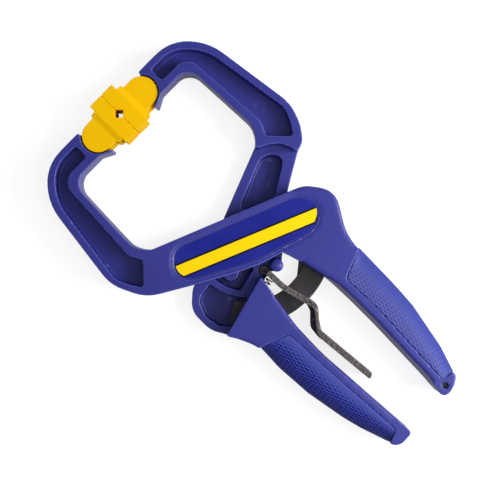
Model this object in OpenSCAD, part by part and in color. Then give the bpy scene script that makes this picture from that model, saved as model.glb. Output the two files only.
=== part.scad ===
// Spring clamp with a ratchet: two crossed arms on one pivot, closed by squeezing
// the handles and freed by the lever between them. It lies on its back face, with
// the pivot axis along Z, the handles towards +X and the jaws towards -X.

/* [Arms] */
// Depth of the clamp, from its back face to its front face
arm_depth = 20; // [19.5:0.25:22]
// Gap between the two laps, filled by the washer
lap_gap = 0.8; // [0.6:0.1:1.2]
// Thickness of the web inside the jaws
web_t = 4; // [3:0.25:6]
// Distance from the pivot to the pad pivots, along X
jaw_reach = 80.7; // [76:0.1:88]
// Height of each pad pivot above the line where the pads meet
pad_rise = 13.9; // [13.6:0.1:15]
// Distance from the pivot to the top of the jaws, along Y
jaw_height = 57.4; // [56:0.1:60]
// Distance from the pivot to the ends of the handles, along X
handle_reach = 114; // [112:0.5:122]
// Width of the rim that is left round the jaw pockets
rim_w = 3.3; // [2.8:0.1:3.8]
// Thickness of the rear lap's back wall under its pockets
lap_floor = 2.2; // [1.8:0.1:2.4]
// Radius of the cord hole in the front handle
cord_hole_r = 1.6; // [1.2:0.1:2]

/* [Pivot] */
// Radius of the rivet's shank
rivet_r = 4; // [3:0.25:4.5]
// Radius of the rivet's head and of its push nut
rivet_head_r = 6.6; // [6:0.1:7.2]
// Thickness of the rivet's head and of its push nut
rivet_head_t = 1.5; // [1.2:0.1:1.7]
// Radial gap where a shaft turns in a bore
run_gap = 0.05; // [0.03:0.01:0.08]
// Radius of the hubs round the rivet
hub_r = 5.8; // [5.3:0.1:6.2]
// Radius of the chamber for the main spring
chamber_r = 10.2; // [9.8:0.1:10.5]
// Thickness of the walls that close the chamber
chamber_wall = 1.5; // [1.2:0.1:1.8]

/* [Main spring] */
// Wire diameter of the main spring
main_wire = 1.6; // [1.2:0.1:1.8]
// Mean radius of the main spring's curls
main_r = 8.1; // [7.9:0.1:8.3]
// Whole curls of the main spring
main_curls = 4; // [3:1:4]

/* [Badge] */
// Depth of the recess for the badge
badge_recess = 0.8; // [0.7:0.05:1]
// Thickness of the badge plate
badge_t = 0.4; // [0.3:0.05:0.45]
// Width of the stripe along the badge
stripe_w = 5.4; // [4:0.2:8]
// Thickness of the stripe
stripe_t = 0.2; // [0.1:0.05:0.25]
// Turn of the badge from the Y axis towards the handles, in degrees
badge_turn = 22.8; // [21.5:0.1:24]

/* [Ratchet strip] */
// Inner radius of the ratchet strip
strip_in_r = 28.3; // [27.8:0.1:29]
// Radial width of the ratchet strip
strip_w = 11; // [9:0.25:11.5]
// Thickness of the ratchet strip
strip_t = 3.4; // [2.6:0.1:3.8]
// Height of the strip's back face above the back of the clamp
strip_z = 4; // [3.7:0.1:4.4]
// Angle of the strip's free end, in degrees from +X
strip_end = -57; // [-58:0.5:-52]
// Angle of the strip's held end, in degrees from +X
strip_root = 38; // [36.5:0.5:39]
// Gap between the strip and what it slides through
strip_gap = 0.4; // [0.3:0.05:0.45]
// Angle from one ratchet tooth to the next
tooth_pitch = 2; // [1.5:0.25:4]
// Depth of the ratchet teeth
tooth_depth = 0.6; // [0.3:0.1:0.9]
// Radius of the two pins that hold the strip
strip_pin_r = 1.25; // [1:0.05:1.5]

/* [Release lever] */
// Place of the lever's knuckle along X
knuckle_x = 15.2; // [15.1:0.05:15.4]
// Place of the lever's knuckle along Y
knuckle_y = -4.2; // [-4.3:0.05:-4.1]
// Radius of the knuckle
knuckle_r = 2.1; // [1.9:0.05:2.2]
// Radius of the pin that the knuckle turns on
lever_pin_r = 1; // [0.8:0.05:1.2]
// Width of the lever, across the clamp's depth
lever_w = 15.2; // [13:0.2:16]
// Distance from the pivot to the end of the lever, along X
lever_reach = 84.2; // [80:0.2:88]
// Radius of the peg that the lever rests against
peg_r = 2.9; // [2.5:0.05:3]
// Height of the peg's crown above the back of the clamp
peg_top = 17; // [14:0.5:18]

/* [Lever spring] */
// Wire diameter of the lever spring
lever_wire = 0.7; // [0.5:0.05:0.8]
// Mean radius of the lever spring's curls
lever_spring_r = 1.6; // [1.4:0.05:1.7]
// Least rise of each curl of the lever spring
lever_pitch = 1.7; // [1.4:0.1:2.6]
// Place of the lever spring along X
lever_spring_x = 20.3; // [20.1:0.1:20.5]

/* [Pads] */
// Half the length of a pad's clamping face
pad_half = 11.4; // [10.5:0.1:11.6]
// Half the gap between the two pads when the clamp is closed
pad_gap = 0.1; // [0.05:0.05:0.4]
// Height of the line where a pad's clamping bar ends
pad_bar = 7; // [6:0.1:7.2]
// Height of the ramp behind the clamping bar
pad_ramp = 2.5; // [2:0.1:2.7]
// Radius of a pad's cheeks
cheek_r = 7.3; // [7.1:0.05:7.4]
// How far the cheeks lie below the faces of the jaws
cheek_inset = 0.8; // [0.4:0.1:1.2]
// Gap between a cheek and its seat in the jaw
seat_gap = 0.6; // [0.5:0.05:0.8]
// Half the diagonal of the square hole between the pads
groove_half = 2.5; // [1.5:0.1:3.5]
// Thickness of the jaw's tongue between the cheeks
tongue_t = 6; // [5:0.25:7]
// Gap on each side of the tongue
tongue_gap = 0.3; // [0.2:0.05:0.4]
// Radius of the tongue round the pad pin
tongue_r = 6.6; // [6:0.05:6.7]
// Radius of the pad pins
pad_pin_r = 1.5; // [1.2:0.05:1.8]

/* [Grips] */
// Thickness of the grip round the core of the handle
grip_skin = 3.5; // [2.5:0.1:4.5]
// Roundness of the grip's outer edges
grip_round = 7.5; // [5:0.25:8]
// Gap between the grip and the handle
grip_gap = 0.1; // [0.05:0.05:0.2]

/* [Hidden] */
$fn = 64;
past = 1;                                          // how far a cut runs past a face

rear_lap = (arm_depth - lap_gap) / 2;              // face of the rear lap
front_lap = rear_lap + lap_gap;                    // back of the front lap
web_lo = (arm_depth - web_t) / 2;
web_hi = web_lo + web_t;
tongue_lo = (arm_depth - tongue_t) / 2;
tongue_hi = tongue_lo + tongue_t;
pad_x = -jaw_reach;
jaw_out = pad_x - 7.3;                             // outer side of both jaws
jaw_in = pad_x + 6.7;                              // throat side of both jaws
jaw_top = jaw_height + 0.3;                        // corner over the rounded top of the jaws
seat_r = cheek_r + seat_gap;
badge_floor = arm_depth - badge_recess;
head_hi = badge_floor - 0.6;
head_lo = head_hi - rivet_head_t;
chamber_lo = rivet_head_t + chamber_wall;
chamber_hi = head_lo - chamber_wall;
strip_out_r = strip_in_r + strip_w;
strip_mid_r = strip_in_r + strip_w / 2;
strip_top = strip_z + strip_t;
strip_pin_turns = [27, 34.5];                      // places of the strip pins, in degrees
teeth_end = -3;                                    // the last tooth, short of the strip's fillet
fillet_step = 0.3;                                 // how far the strip's fillet lies inside its faces
peg = [17.8, 1.4];
knuckle = [knuckle_x, knuckle_y];
knuckle_seat = knuckle_r + 0.35;
knuckle_hi = rear_lap - 0.2;
lever_lo = lap_floor + 0.2;
lever_hi = lever_lo + lever_w;
lever_spring_z = 6;
lever_spring_top = -5.1;
lever_spring_out = lever_spring_x + lever_spring_r + lever_wire / 2;
lever_spring_clear = 1.8;                          // from the lever spring's foot to the strip
lever_spring_foot = -sqrt(pow(strip_in_r - lever_spring_clear, 2) - pow(lever_spring_out, 2));
cord_hole = [handle_reach - 4.5, 16.4];
spring_boss = [5, -15.7];                          // post that holds the main spring's lower leg
spring_boss_r = 3.9;
main_lo = chamber_lo + main_wire / 2 + 0.15;
main_hi = chamber_hi - main_wire / 2 - 0.15;

blue = [0.25, 0.27, 0.64];
deep_blue = [0.13, 0.18, 0.58];
yellow = [1, 0.77, 0.02];
black = [0.17, 0.15, 0.15];
steel = [0.72, 0.73, 0.75];

// ---- outlines: lists of corners, each with its radius as the third value ----

function xy(p) = [p[0], p[1]];
function unit(v) = v / norm(v);

// Points of the arc that rounds corner q between p and s
function corner(p, q, s, steps) =
    let (a = unit(xy(p) - xy(q)), b = unit(xy(s) - xy(q)),
         half = acos(max(-1, min(1, a * b))) / 2)
    q[2] == 0 || half > 89.5 ? [xy(q)] :
    let (room = 0.49 * min(norm(xy(p) - xy(q)), norm(xy(s) - xy(q))),
         run = min(q[2] / tan(half), room),
         centre = xy(q) + unit(a + b) * (run * tan(half) / sin(half)),
         from = xy(q) + a * run - centre,
         to = xy(q) + b * run - centre,
         side = from[0] * to[1] > from[1] * to[0] ? 1 : -1,
         turn = side * (180 - 2 * half),
         n = max(1, ceil(steps * abs(turn) / 90)))
    [for (i = [0:n]) let (w = turn * i / n)
        centre + [from[0] * cos(w) - from[1] * sin(w), from[0] * sin(w) + from[1] * cos(w)]];

function rounded(pts, steps = 12) =
    let (n = len(pts))
    [for (i = [0:n - 1]) each corner(pts[(i + n - 1) % n], pts[i], pts[(i + 1) % n], steps)];

function below(pts) = [for (p = pts) [p[0], -p[1], p[2]]];

module slab(pts, z0, z1) {
    translate([0, 0, z0]) linear_extrude(z1 - z0) polygon(rounded(pts));
}

// The part of an outline that lies in a zone
module zone_slab(pts, zone, z0, z1) {
    translate([0, 0, z0]) linear_extrude(z1 - z0) intersection() {
        polygon(rounded(pts));
        polygon(rounded(zone));
    }
}

module disc(at, r, z0, z1) {
    translate([at[0], at[1], z0]) cylinder(r = r, h = z1 - z0);
}

module ring(r0, r1, z0, z1) {
    difference() {
        disc([0, 0], r1, z0, z1);
        disc([0, 0], r0, z0 - past, z1 + past);
    }
}

// A piece of a flat ring about the pivot, from angle a0 to angle a1
module sector(r0, r1, a0, a1, z0, z1) {
    rotate([0, 0, a0]) rotate_extrude(angle = a1 - a0, $fn = 128)
        translate([r0, z0]) square([r1 - r0, z1 - z0]);
}

// Upper jaw: from the pad's seat round the outside to its top, and back along the throat
jaw_edge = [[jaw_out, pad_rise + 5.6, 0.4], [jaw_out, jaw_top - 18.4, 20],
            [jaw_out + 12.6, jaw_top - 6.4, 26], [-29.5, jaw_top, 20]];
throat_edge = [[-27.5, jaw_top - 24.5, 1.5], [-30.6, jaw_top - 21.4, 12],
               [-35.5, jaw_top - 19.2, 25], [jaw_in, jaw_top - 20.9, 7.5],
               [jaw_in, pad_rise + 6.1, 3], [pad_x + 9.8, pad_rise + 0.4, 0.6],
               [pad_x + 8.3, pad_rise - 0.7, 0.2]];
jaw_pocket = [[jaw_out + rim_w, pad_rise + 10.2, 1.5],
              [jaw_out + rim_w, jaw_top - rim_w - 17.2, 17],
              [jaw_out + rim_w + 11, jaw_top - rim_w - 6.6, 22], [-29.5, jaw_top - rim_w, 12],
              [-23.5, jaw_top - rim_w - 2.9, 10], [-17.9, jaw_top - rim_w - 6.4, 1.6],
              [-27, jaw_top - 18.9 + rim_w - 2.6, 2], [-33.5, jaw_top - 18.4 + rim_w, 5],
              [jaw_in - rim_w - 0.5, jaw_top - 21.1 + rim_w, 7],
              [jaw_in - rim_w - 0.5, pad_rise + 10.2, 1.5]];

// Handles: inner edge towards the lever, end, and outer edge back to the laps
front_inner = [[24, 10.2, 20], [37, 13.1, 40], [60, 13.8, 200]];
front_end = [[handle_reach - 0.8, 11.9, 2.6], [handle_reach - 0.7, 17.6, 6],
             [handle_reach - 4.6, 22.8, 6]];
front_outer = [[86, 31.2, 90], [62, 32.9, 90], [37, 32.6, 30], [29, 34.2, 25],
               [12.6, 44.3, 10], [0.9, 35.9, 12]];
rear_inner = [[27, -9.2, 20], [44, -12.1, 40], [62, -12.7, 60], [84, -11.2, 60]];
rear_end = [[handle_reach - 0.1, -9.3, 1.6], [handle_reach + 0.6, -18.6, 5.5]];
rear_outer = [[92, -26, 60], [60, -31.5, 80], [38, -30.3, 25], [28, -34.9, 3]];

rear_plan = concat(jaw_edge,
    [[-19.5, jaw_top - 3.5, 20], [-13.2, jaw_top - 8.4, 7], [-11.9, 45.4, 1],
     [-2.4, 28.8, 20], [14.8, 8.2, 2], [18.4, 4, 1.5], [18.4, -7.7, 0]],
    rear_inner, rear_end, rear_outer,
    [[17, -41.2, 13], [4.6, -41, 10], [-1.9, -33.5, 7]], throat_edge);
front_plan = concat(below(jaw_edge),
    [[-14, -50.3, 20], [-2, -30, 20], [6, -15.8, 30], [11.9, -3.6, 20], [15.3, 7.4, 1]],
    front_inner, front_end, front_outer, below(throat_edge));

// Zones in which an arm has its full depth: the jaw beyond a step, and the handle
far = 150;
jaw_zone = [[-60, 0, 0], [-33, 31.5, 0], [-25.8, 32.6, 2.4], [-23.1, 37.9, 5], [-19.7, 41.7, 5],
            [-16, 43.6, 6], [-13, 43.9, 2.6], [-11.2, 47.5, 0], [0, far, 0],
            [-far, far, 0], [-far, 0, 0]];
rear_handle_zone = [[16.1, -7.3, 0.8], [18.4, -7.7, 0], [19, 0, 0], [far, 0, 0],
                    [far, -60, 0], [29.9, -60, 0]];
front_handle_zone = [[19.2, 7, 0], [29.5, 60, 0], [far, 60, 0], [far, 7, 0]];

// The badge, in its own frame with its length along Y
function badge_plan(grow) = [[-8.3 - grow, -31.5 - grow, 7], [0.5, -35.3 - grow, 6],
    [6.4 + grow, -31 - grow, 8], [9.6 + grow, 0, 60], [7 + grow, 29.5 + grow, 12],
    [-2, 36.3 + grow, 5.5], [-9.2 - grow, 29.5 + grow, 11]];

// The grips: edge draws in the outer side along the slanted ends, seam draws in the sides
// that meet the handle. A lean is how far an end runs along X for each step along Y.
front_lean = [0.378, 0.297];
rear_lean = [0.362, 0.409];
function front_grip_plan(edge, seam) = [
    [38.4 + seam + front_lean[0] * edge, 33.5 - edge, 0.3], [44 + seam, 18.7 + seam, 3],
    [62, 19.5 + seam, 80], [handle_reach - 6.8 - seam, 17.1 + seam, 2],
    [handle_reach - 4.9 - seam - front_lean[1] * edge, 23.5 - edge, 0.3],
    [86, 31.2 - edge, 90], [62, 32.9 - edge, 90]];
function rear_grip_plan(edge, seam) = [
    [38.4 + seam + rear_lean[0] * edge, -30.4 + edge, 0.3], [60, -31.5 + edge, 80],
    [92, -26 + edge, 60], [handle_reach - 3.6 - seam - rear_lean[1] * edge, -20 + edge, 0.3],
    [handle_reach - 6.3 - seam, -13.4 - seam, 2.5], [62, -16.1 - seam, 80],
    [43.4 + seam, -16.6 - seam, 3]];

// ---- shared parts of the two arms -------------------------------------------

module jaw_pockets(side) {
    pts = side > 0 ? jaw_pocket : below(jaw_pocket);
    slab(pts, web_hi, arm_depth + past);
    slab(pts, -past, web_lo);
}

// Round seat for the cheeks, opened a little at the lip so that the pad can swing
module pad_seat(side) {
    lip_gap = seat_r + 0.45;
    disc([pad_x, side * pad_rise], seat_r, -past, arm_depth + past);
    translate([pad_x, side > 0 ? pad_rise - 8 : -pad_rise - 1, -past])
        cube([lip_gap, 9, arm_depth + 2 * past]);
}

// Tongue with the pad's bore, between the two cheeks
module jaw_tongue(side) {
    at = [pad_x, side * pad_rise];
    difference() {
        union() {
            disc(at, tongue_r, tongue_lo, tongue_hi);
            translate([pad_x - 5.6, side > 0 ? pad_rise : -pad_rise - seat_r - 1.4, tongue_lo])
                cube([11.2, seat_r + 1.4, tongue_t]);
        }
        disc(at, pad_pin_r + run_gap, tongue_lo - past, tongue_hi + past);
    }
}

// What the grip takes away from a handle, leaving the core
module grip_room(plan, core) {
    difference() {
        slab(plan, -past, arm_depth + past);
        slab(core, grip_skin, arm_depth - grip_skin);
    }
}

// ---- rear arm: upper jaw, rear lap and lower handle ------------------------------

lap_pocket = [[-15.3, 40, 4.1], [-22.6, 32.6, 7], [-12.7, 8, 2.5], [-3, 12.5, 3], [-2.6, 19.5, 4]];
strip_pocket = [[2, -25, 1], [3.3, -35, 5], [11.5, -38.2, 6], [18.5, -36.8, 4],
                [22.6, -33.4, 1], [18.6, -18, 0.5]];
spring_pocket = [[1.2, -24.5, 0.5], [14.6, -20.6, 1.5], [11.2, -6.6, 1.5], [2, -8, 0.5]];
rib_in = 23.2;                                     // rib between the two lower pockets
rib_out = 26.2;

module rear_lap_pockets() {
    slab(lap_pocket, lap_floor, rear_lap + past);
    difference() {
        slab(strip_pocket, lap_floor, rear_lap + past);
        disc([0, 0], rib_out, 0, arm_depth);
    }
    difference() {
        intersection() {
            slab(spring_pocket, lap_floor, rear_lap + past);
            disc([0, 0], rib_in, 0, arm_depth);
        }
        disc([0, 0], chamber_r + 2.2, 0, arm_depth);
        disc(spring_boss, spring_boss_r, 0, arm_depth);
    }
}

module rear_lap_bores() {
    disc([0, 0], rivet_r, -past, arm_depth);
    disc([0, 0], rivet_head_r + 0.1, -past, rivet_head_t);
    translate([0, 0, chamber_lo]) ring(hub_r, chamber_r, 0, arm_depth);
    spring_leg_room(main_lo, main_from, -1);
    disc(knuckle, lever_pin_r, -past, arm_depth);
    disc(knuckle, knuckle_seat, lap_floor, arm_depth);
    translate([knuckle_x, knuckle_y - knuckle_seat, lap_floor])
        cube([4, 2 * knuckle_seat - 0.4, arm_depth]);
}

module lever_spring_bore() {
    translate([lever_spring_x, lever_spring_foot - 0.2, lever_spring_z]) rotate([-90, 0, 0])
        cylinder(r = lever_spring_r + lever_wire / 2 + 0.3, h = lever_spring_top - lever_spring_foot);
}

module rear_arm() {
    color(blue) {
        difference() {
            union() {
                difference() {
                    union() {
                        slab(rear_plan, 0, rear_lap);
                        disc(peg, peg_r, 0, rear_lap);
                    }
                    rear_lap_pockets();
                    rear_lap_bores();
                }
                zone_slab(rear_plan, jaw_zone, rear_lap, arm_depth);
                zone_slab(rear_plan, rear_handle_zone, rear_lap, arm_depth);
                intersection() {
                    disc(peg, peg_r, rear_lap, peg_top);
                    translate([peg[0], peg[1], peg_top - 1.6 * peg_r]) sphere(r = 1.6 * peg_r);
                }
            }
            pad_seat(1);
            jaw_pockets(1);
            grip_room(rear_grip_plan(-past, 0), rear_grip_plan(grip_skin, -past));
            sector(strip_in_r - strip_gap, strip_out_r + strip_gap, strip_end - 1.5, -8,
                   strip_z - strip_gap, strip_top + strip_gap);
            lever_spring_bore();
        }
        jaw_tongue(1);
    }
}

// ---- front arm: lower jaw, badge bar over the pivot and upper handle ---------------

module front_arm() {
    color(blue) {
        difference() {
            union() {
                slab(front_plan, front_lap, arm_depth);
                zone_slab(front_plan, below(jaw_zone), 0, front_lap);
                zone_slab(front_plan, front_handle_zone, 0, front_lap);
            }
            pad_seat(-1);
            jaw_pockets(-1);
            grip_room(front_grip_plan(-past, 0), front_grip_plan(grip_skin, -past));
            rotate([0, 0, -badge_turn]) slab(badge_plan(1), badge_floor, arm_depth + past);
            disc([0, 0], rivet_head_r + 0.3, head_lo, arm_depth);
            disc([0, 0], rivet_r + run_gap, 0, arm_depth);
            translate([0, 0, chamber_hi - arm_depth]) ring(hub_r, chamber_r, 0, arm_depth);
            spring_leg_room(main_hi, main_to, 1);
            strip_band(0.1);
            strip_fillet(0.1);
            for (w = strip_pin_turns) disc(strip_pin_at(w), strip_pin_r, -past, strip_top + 3);
            disc(cord_hole, cord_hole_r, -past, arm_depth + past);
        }
        jaw_tongue(-1);
    }
}

// ---- grips --------------------------------------------------------------------

// A pillow whose outer edges round off in steps, hollow over the core
module grip(full, core, layers) {
    difference() {
        intersection() {
            hull() for (layer = layers) translate([0, 0, layer[0]])
                linear_extrude(arm_depth - 2 * layer[0]) polygon(rounded(layer[1], 4));
            slab(full, -past, arm_depth + past);
        }
        slab(core, grip_skin - grip_gap, arm_depth - grip_skin + grip_gap);
    }
}

// Depth and inset of the rounded edge, at w degrees round it
function edge_depth(w) = 0.8 * grip_round * (1 - cos(w));
function edge_inset(w) = grip_round * (1 - sin(w));

module rear_grip() {
    color(deep_blue)
        grip(rear_grip_plan(0, grip_gap), rear_grip_plan(grip_skin - grip_gap, -2 * past),
            [for (w = [0:22.5:90]) [edge_depth(w), rear_grip_plan(edge_inset(w), grip_gap)]]);
}

module front_grip() {
    color(blue)
        grip(front_grip_plan(0, grip_gap), front_grip_plan(grip_skin - grip_gap, -2 * past),
            [for (w = [0:22.5:90]) [edge_depth(w), front_grip_plan(edge_inset(w), grip_gap)]]);
}

// ---- badge --------------------------------------------------------------------

module badge_plate() {
    color([0.1, 0.14, 0.6]) rotate([0, 0, -badge_turn])
        slab(badge_plan(0), badge_floor, badge_floor + badge_t);
}

module badge_stripe() {
    color(yellow) rotate([0, 0, -badge_turn]) intersection() {
        slab(badge_plan(-0.2), badge_floor + badge_t, badge_floor + badge_t + stripe_t);
        translate([1.35 - stripe_w / 2, -50, 0]) cube([stripe_w, 100, arm_depth]);
    }
}

// ---- pivot --------------------------------------------------------------------

module pivot_rivet() {
    color(steel) {
        disc([0, 0], rivet_r, 0, head_hi - 0.5);
        disc([0, 0], rivet_head_r, head_lo + run_gap, head_hi);
    }
}

module pivot_push_nut() {
    color(steel) ring(rivet_r, rivet_head_r, 0, rivet_head_t);
}

module pivot_washer() {
    color("white") ring(rivet_r + run_gap, hub_r - 0.2, rear_lap, front_lap - run_gap);
}

// ---- springs ------------------------------------------------------------------

ring_sides = 6;
rings_per_curl = 8;

// An unbroken tube along points; up gives the direction that its curls rise in
module tube(path, r, up) {
    n = len(path);
    points = [for (i = [0:n - 1])
        let (t = unit(path[min(i + 1, n - 1)] - path[max(i - 1, 0)]),
             a = unit(cross(t, up)), b = cross(a, t))
        for (k = [0:ring_sides - 1]) let (w = 360 * k / ring_sides)
            path[i] + r * (a * cos(w) + b * sin(w))];
    walls = [for (i = [0:n - 2], k = [0:ring_sides - 1])
        let (p = i * ring_sides + k, q = i * ring_sides + (k + 1) % ring_sides)
        each [[p, q, q + ring_sides], [p, q + ring_sides, p + ring_sides]]];
    last = (n - 1) * ring_sides;
    caps = [for (k = [1:ring_sides - 2])
        each [[0, k + 1, k], [last, last + k, last + k + 1]]];
    polyhedron(points, concat(walls, caps));
}

// Least gap between the curls of a tube: points at least half a curl apart
function self_gap(path, wire) = min([for (i = [0:len(path) - 1])
    for (j = [i + rings_per_curl / 2 + 1:1:len(path) - 1]) norm(path[i] - path[j])]) - wire;

// The main spring: its lower leg runs to the post, its upper leg into the badge bar
main_leg = sqrt(pow(norm(spring_boss), 2) - pow(main_r, 2));
main_from = atan2(spring_boss[1], spring_boss[0]) + atan(main_leg / main_r);
main_to = 90 - badge_turn - 44.6;
main_turn = 360 * main_curls + main_to - main_from;
upper_leg = 8;
function main_point(w, z) = [main_r * cos(w), main_r * sin(w), z];
function along(w) = [-sin(w), cos(w), 0];
main_path = concat(
    [for (s = [1, 0.5]) main_point(main_from, main_lo) - s * main_leg * along(main_from)],
    [for (i = [0:ceil(main_turn * rings_per_curl / 360)])
        let (f = i / ceil(main_turn * rings_per_curl / 360))
        main_point(main_from + f * main_turn, main_lo + f * (main_hi - main_lo))],
    [for (s = [0.5, 1]) main_point(main_to, main_hi) + s * upper_leg * along(main_to)]);

// Slot for a leg of the main spring, from its curl outwards
module spring_leg_room(z, w, side) {
    half = main_wire / 2 + 0.25;
    long = side > 0 ? upper_leg : main_leg;
    rotate([0, 0, w]) translate([main_r - half, side > 0 ? 0 : -long - half, z - half])
        cube([2 * half, long + half, side > 0 ? 2 * half : rear_lap]);
}

module main_spring() {
    color(steel) tube(main_path, main_wire / 2, [0, 0, 1]);
}

lever_rise = lever_spring_top - lever_spring_foot - lever_wire;
lever_curls = max(1, floor(lever_rise / lever_pitch));
lever_path = [for (i = [0:lever_curls * rings_per_curl])
    let (w = 360 * i / rings_per_curl, f = i / (lever_curls * rings_per_curl))
    [lever_spring_x + lever_spring_r * cos(w),
     lever_spring_foot + lever_wire / 2 + f * lever_rise,
     lever_spring_z + lever_spring_r * sin(w)]];

module lever_spring() {
    color(steel) tube(lever_path, lever_wire / 2, [0, 1, 0]);
}

echo("main_spring least gap to itself, mm", self_gap(main_path, main_wire));
echo("lever_spring least gap to itself, mm", self_gap(lever_path, lever_wire));

// ---- ratchet strip ----------------------------------------------------------------

function strip_pin_at(w) = strip_mid_r * [cos(w), sin(w)];

// The strip without its teeth: a ring sector and the fillet where it leaves the handle
module strip_band(grow) {
    sector(strip_in_r - grow, strip_out_r + grow, strip_end, strip_root + grow / 2,
           strip_z - grow, strip_top + grow);
}

module strip_fillet(grow) {
    foot = strip_in_r - 4.9 - grow;
    slab([[strip_in_r + 2.2, 1.6, 0], [strip_in_r - 0.4, 4.6, 6], [foot, 10.2 - grow, 0.3],
          [foot, 13, 0.5], [strip_in_r + 3, 12.2, 0]],
         strip_z + fillet_step - grow, strip_top - fillet_step + grow);
}

module ratchet_strip() {
    tooth = strip_mid_r * tooth_pitch * PI / 180;
    color(black) difference() {
        union() {
            difference() {
                strip_band(0);
                for (w = [strip_end + 2:tooth_pitch:teeth_end]) rotate([0, 0, w])
                    translate([strip_in_r - past, 0, strip_z]) rotate([90, 0, 90])
                        linear_extrude(strip_w + 2 * past) polygon([[0, -past], [0, tooth_depth],
                            [0.7 * tooth, 0], [0.7 * tooth, -past]]);
            }
            strip_fillet(0);
        }
        for (w = strip_pin_turns) disc(strip_pin_at(w), strip_pin_r, 0, arm_depth);
    }
}

module strip_pins() {
    color(steel) for (w = strip_pin_turns) disc(strip_pin_at(w), strip_pin_r, 0.2, strip_top + 2.8);
}

// ---- release lever ------------------------------------------------------------------

lever_plan = [[17, -2.4, 0.3], [27, -2.2, 22], [43.2, 2.2, 5], [51.6, -5.6, 7],
    [lever_reach - 1.6, -2.9, 0.8], [lever_reach, -5.7, 0.8], [53, -8.4, 7],
    [43.6, -0.5, 3], [27.5, -4.9, 22], [17, -5.1, 0.3]];
lever_rib = [[39, -1.2, 0], [45, 0.4, 2], [55, -6.5, 0], [62, -7, 0], [55, -8.6, 5],
    [49, -8, 5], [43.6, -2.6, 4]];

module release_lever() {
    color(black) difference() {
        union() {
            slab(lever_plan, lever_lo, lever_hi);
            slab(lever_rib, lever_lo, lever_lo + 5);
            difference() {
                union() {
                    disc(knuckle, knuckle_r, lever_lo, knuckle_hi);
                    slab([[knuckle_x, knuckle_y + knuckle_r, 0], [17.5, -2.4, 0], [17.5, -5.1, 0],
                          [knuckle_x, knuckle_y - knuckle_r, 0]], lever_lo, knuckle_hi);
                }
                disc(knuckle, lever_pin_r + run_gap, 0, knuckle_hi - 1);
            }
        }
        sector(strip_in_r - strip_gap, strip_out_r + strip_gap, -20, 12,
               strip_z - 0.3, strip_top + strip_gap);
    }
}

module lever_pin() {
    color(steel) disc(knuckle, lever_pin_r, 0.2, knuckle_hi - 1.2);
}

// ---- pads -----------------------------------------------------------------------

ramp_top = pad_bar + pad_ramp;
ramp_half = cheek_r + 1.5;                         // half the length of the ramp
bar_x = pad_x - 0.5;
pad_plan = [[bar_x - pad_half, pad_gap, 0.4], [bar_x - pad_half, pad_bar, 0.4],
    [pad_x - ramp_half, pad_bar, 0], [pad_x - ramp_half, ramp_top - 0.3, 0.4],
    [pad_x - cheek_r, ramp_top + 0.5, 0.4], [pad_x - cheek_r, pad_rise, 0],
    [pad_x + cheek_r, pad_rise, 0], [pad_x + cheek_r, ramp_top + 0.5, 0.4],
    [pad_x + ramp_half, ramp_top - 0.3, 0.4], [pad_x + ramp_half, pad_bar, 0],
    [bar_x + pad_half, pad_bar, 0.4], [bar_x + pad_half, pad_gap, 0.4]];

// The pad of the upper jaw: a clamping bar with a ramp behind it and two round cheeks
module pad_body() {
    fork = pad_rise - tongue_r - 0.5;
    at = [pad_x, pad_rise];
    difference() {
        intersection() {
            union() {
                slab(pad_plan, 0, arm_depth);
                disc(at, cheek_r, 0, arm_depth);
            }
            translate([pad_x + 20, 0, 0]) rotate([90, 0, -90]) linear_extrude(40)
                polygon([[0, 0], [-pad_bar, 0], [-ramp_top, cheek_inset], [-30, cheek_inset],
                         [-30, arm_depth - cheek_inset], [-ramp_top, arm_depth - cheek_inset],
                         [-pad_bar, arm_depth], [0, arm_depth]]);
        }
        translate([pad_x - 20, fork, tongue_lo - tongue_gap])
            cube([40, 30, tongue_t + 2 * tongue_gap]);
        disc(at, pad_pin_r, -past, arm_depth - 3);
        translate([pad_x - 0.3, 0, -past]) rotate([0, 0, 45])
            translate([-groove_half / sqrt(2), -groove_half / sqrt(2), 0])
                cube([groove_half * sqrt(2), groove_half * sqrt(2), arm_depth + 2 * past]);
    }
}

module rear_pad() {
    color(yellow) pad_body();
}

module front_pad() {
    color(yellow) mirror([0, 1, 0]) pad_body();
}

module rear_pad_pin() {
    color(steel) disc([pad_x, pad_rise], pad_pin_r, cheek_inset + 0.2, arm_depth - 3.2);
}

module front_pad_pin() {
    color(steel) disc([pad_x, -pad_rise], pad_pin_r, cheek_inset + 0.2, arm_depth - 3.2);
}

rear_arm();
front_arm();
rear_grip();
front_grip();
badge_plate();
badge_stripe();
pivot_rivet();
pivot_push_nut();
pivot_washer();
main_spring();
ratchet_strip();
strip_pins();
release_lever();
lever_pin();
lever_spring();
rear_pad();
front_pad();
rear_pad_pin();
front_pad_pin();
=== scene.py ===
"""The looks of the ratchet spring clamp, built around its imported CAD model."""

import logging
import math
from dataclasses import dataclass, field
from enum import Enum
from functools import cache

import bpy
import numpy as np
from mathutils import Matrix, Vector


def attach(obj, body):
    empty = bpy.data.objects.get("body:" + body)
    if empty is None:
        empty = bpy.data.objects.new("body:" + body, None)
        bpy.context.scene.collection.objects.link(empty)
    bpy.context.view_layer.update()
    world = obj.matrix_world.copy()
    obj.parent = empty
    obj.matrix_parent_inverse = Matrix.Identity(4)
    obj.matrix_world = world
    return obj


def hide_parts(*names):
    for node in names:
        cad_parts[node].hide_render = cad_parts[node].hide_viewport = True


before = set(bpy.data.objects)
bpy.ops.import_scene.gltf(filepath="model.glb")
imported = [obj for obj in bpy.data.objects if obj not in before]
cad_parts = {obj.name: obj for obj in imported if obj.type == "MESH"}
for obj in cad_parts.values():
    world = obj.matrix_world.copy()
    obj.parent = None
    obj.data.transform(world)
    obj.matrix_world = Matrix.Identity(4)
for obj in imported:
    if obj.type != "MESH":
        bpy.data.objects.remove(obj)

LOG = logging.getLogger("clamp")
MM = 0.001
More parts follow.
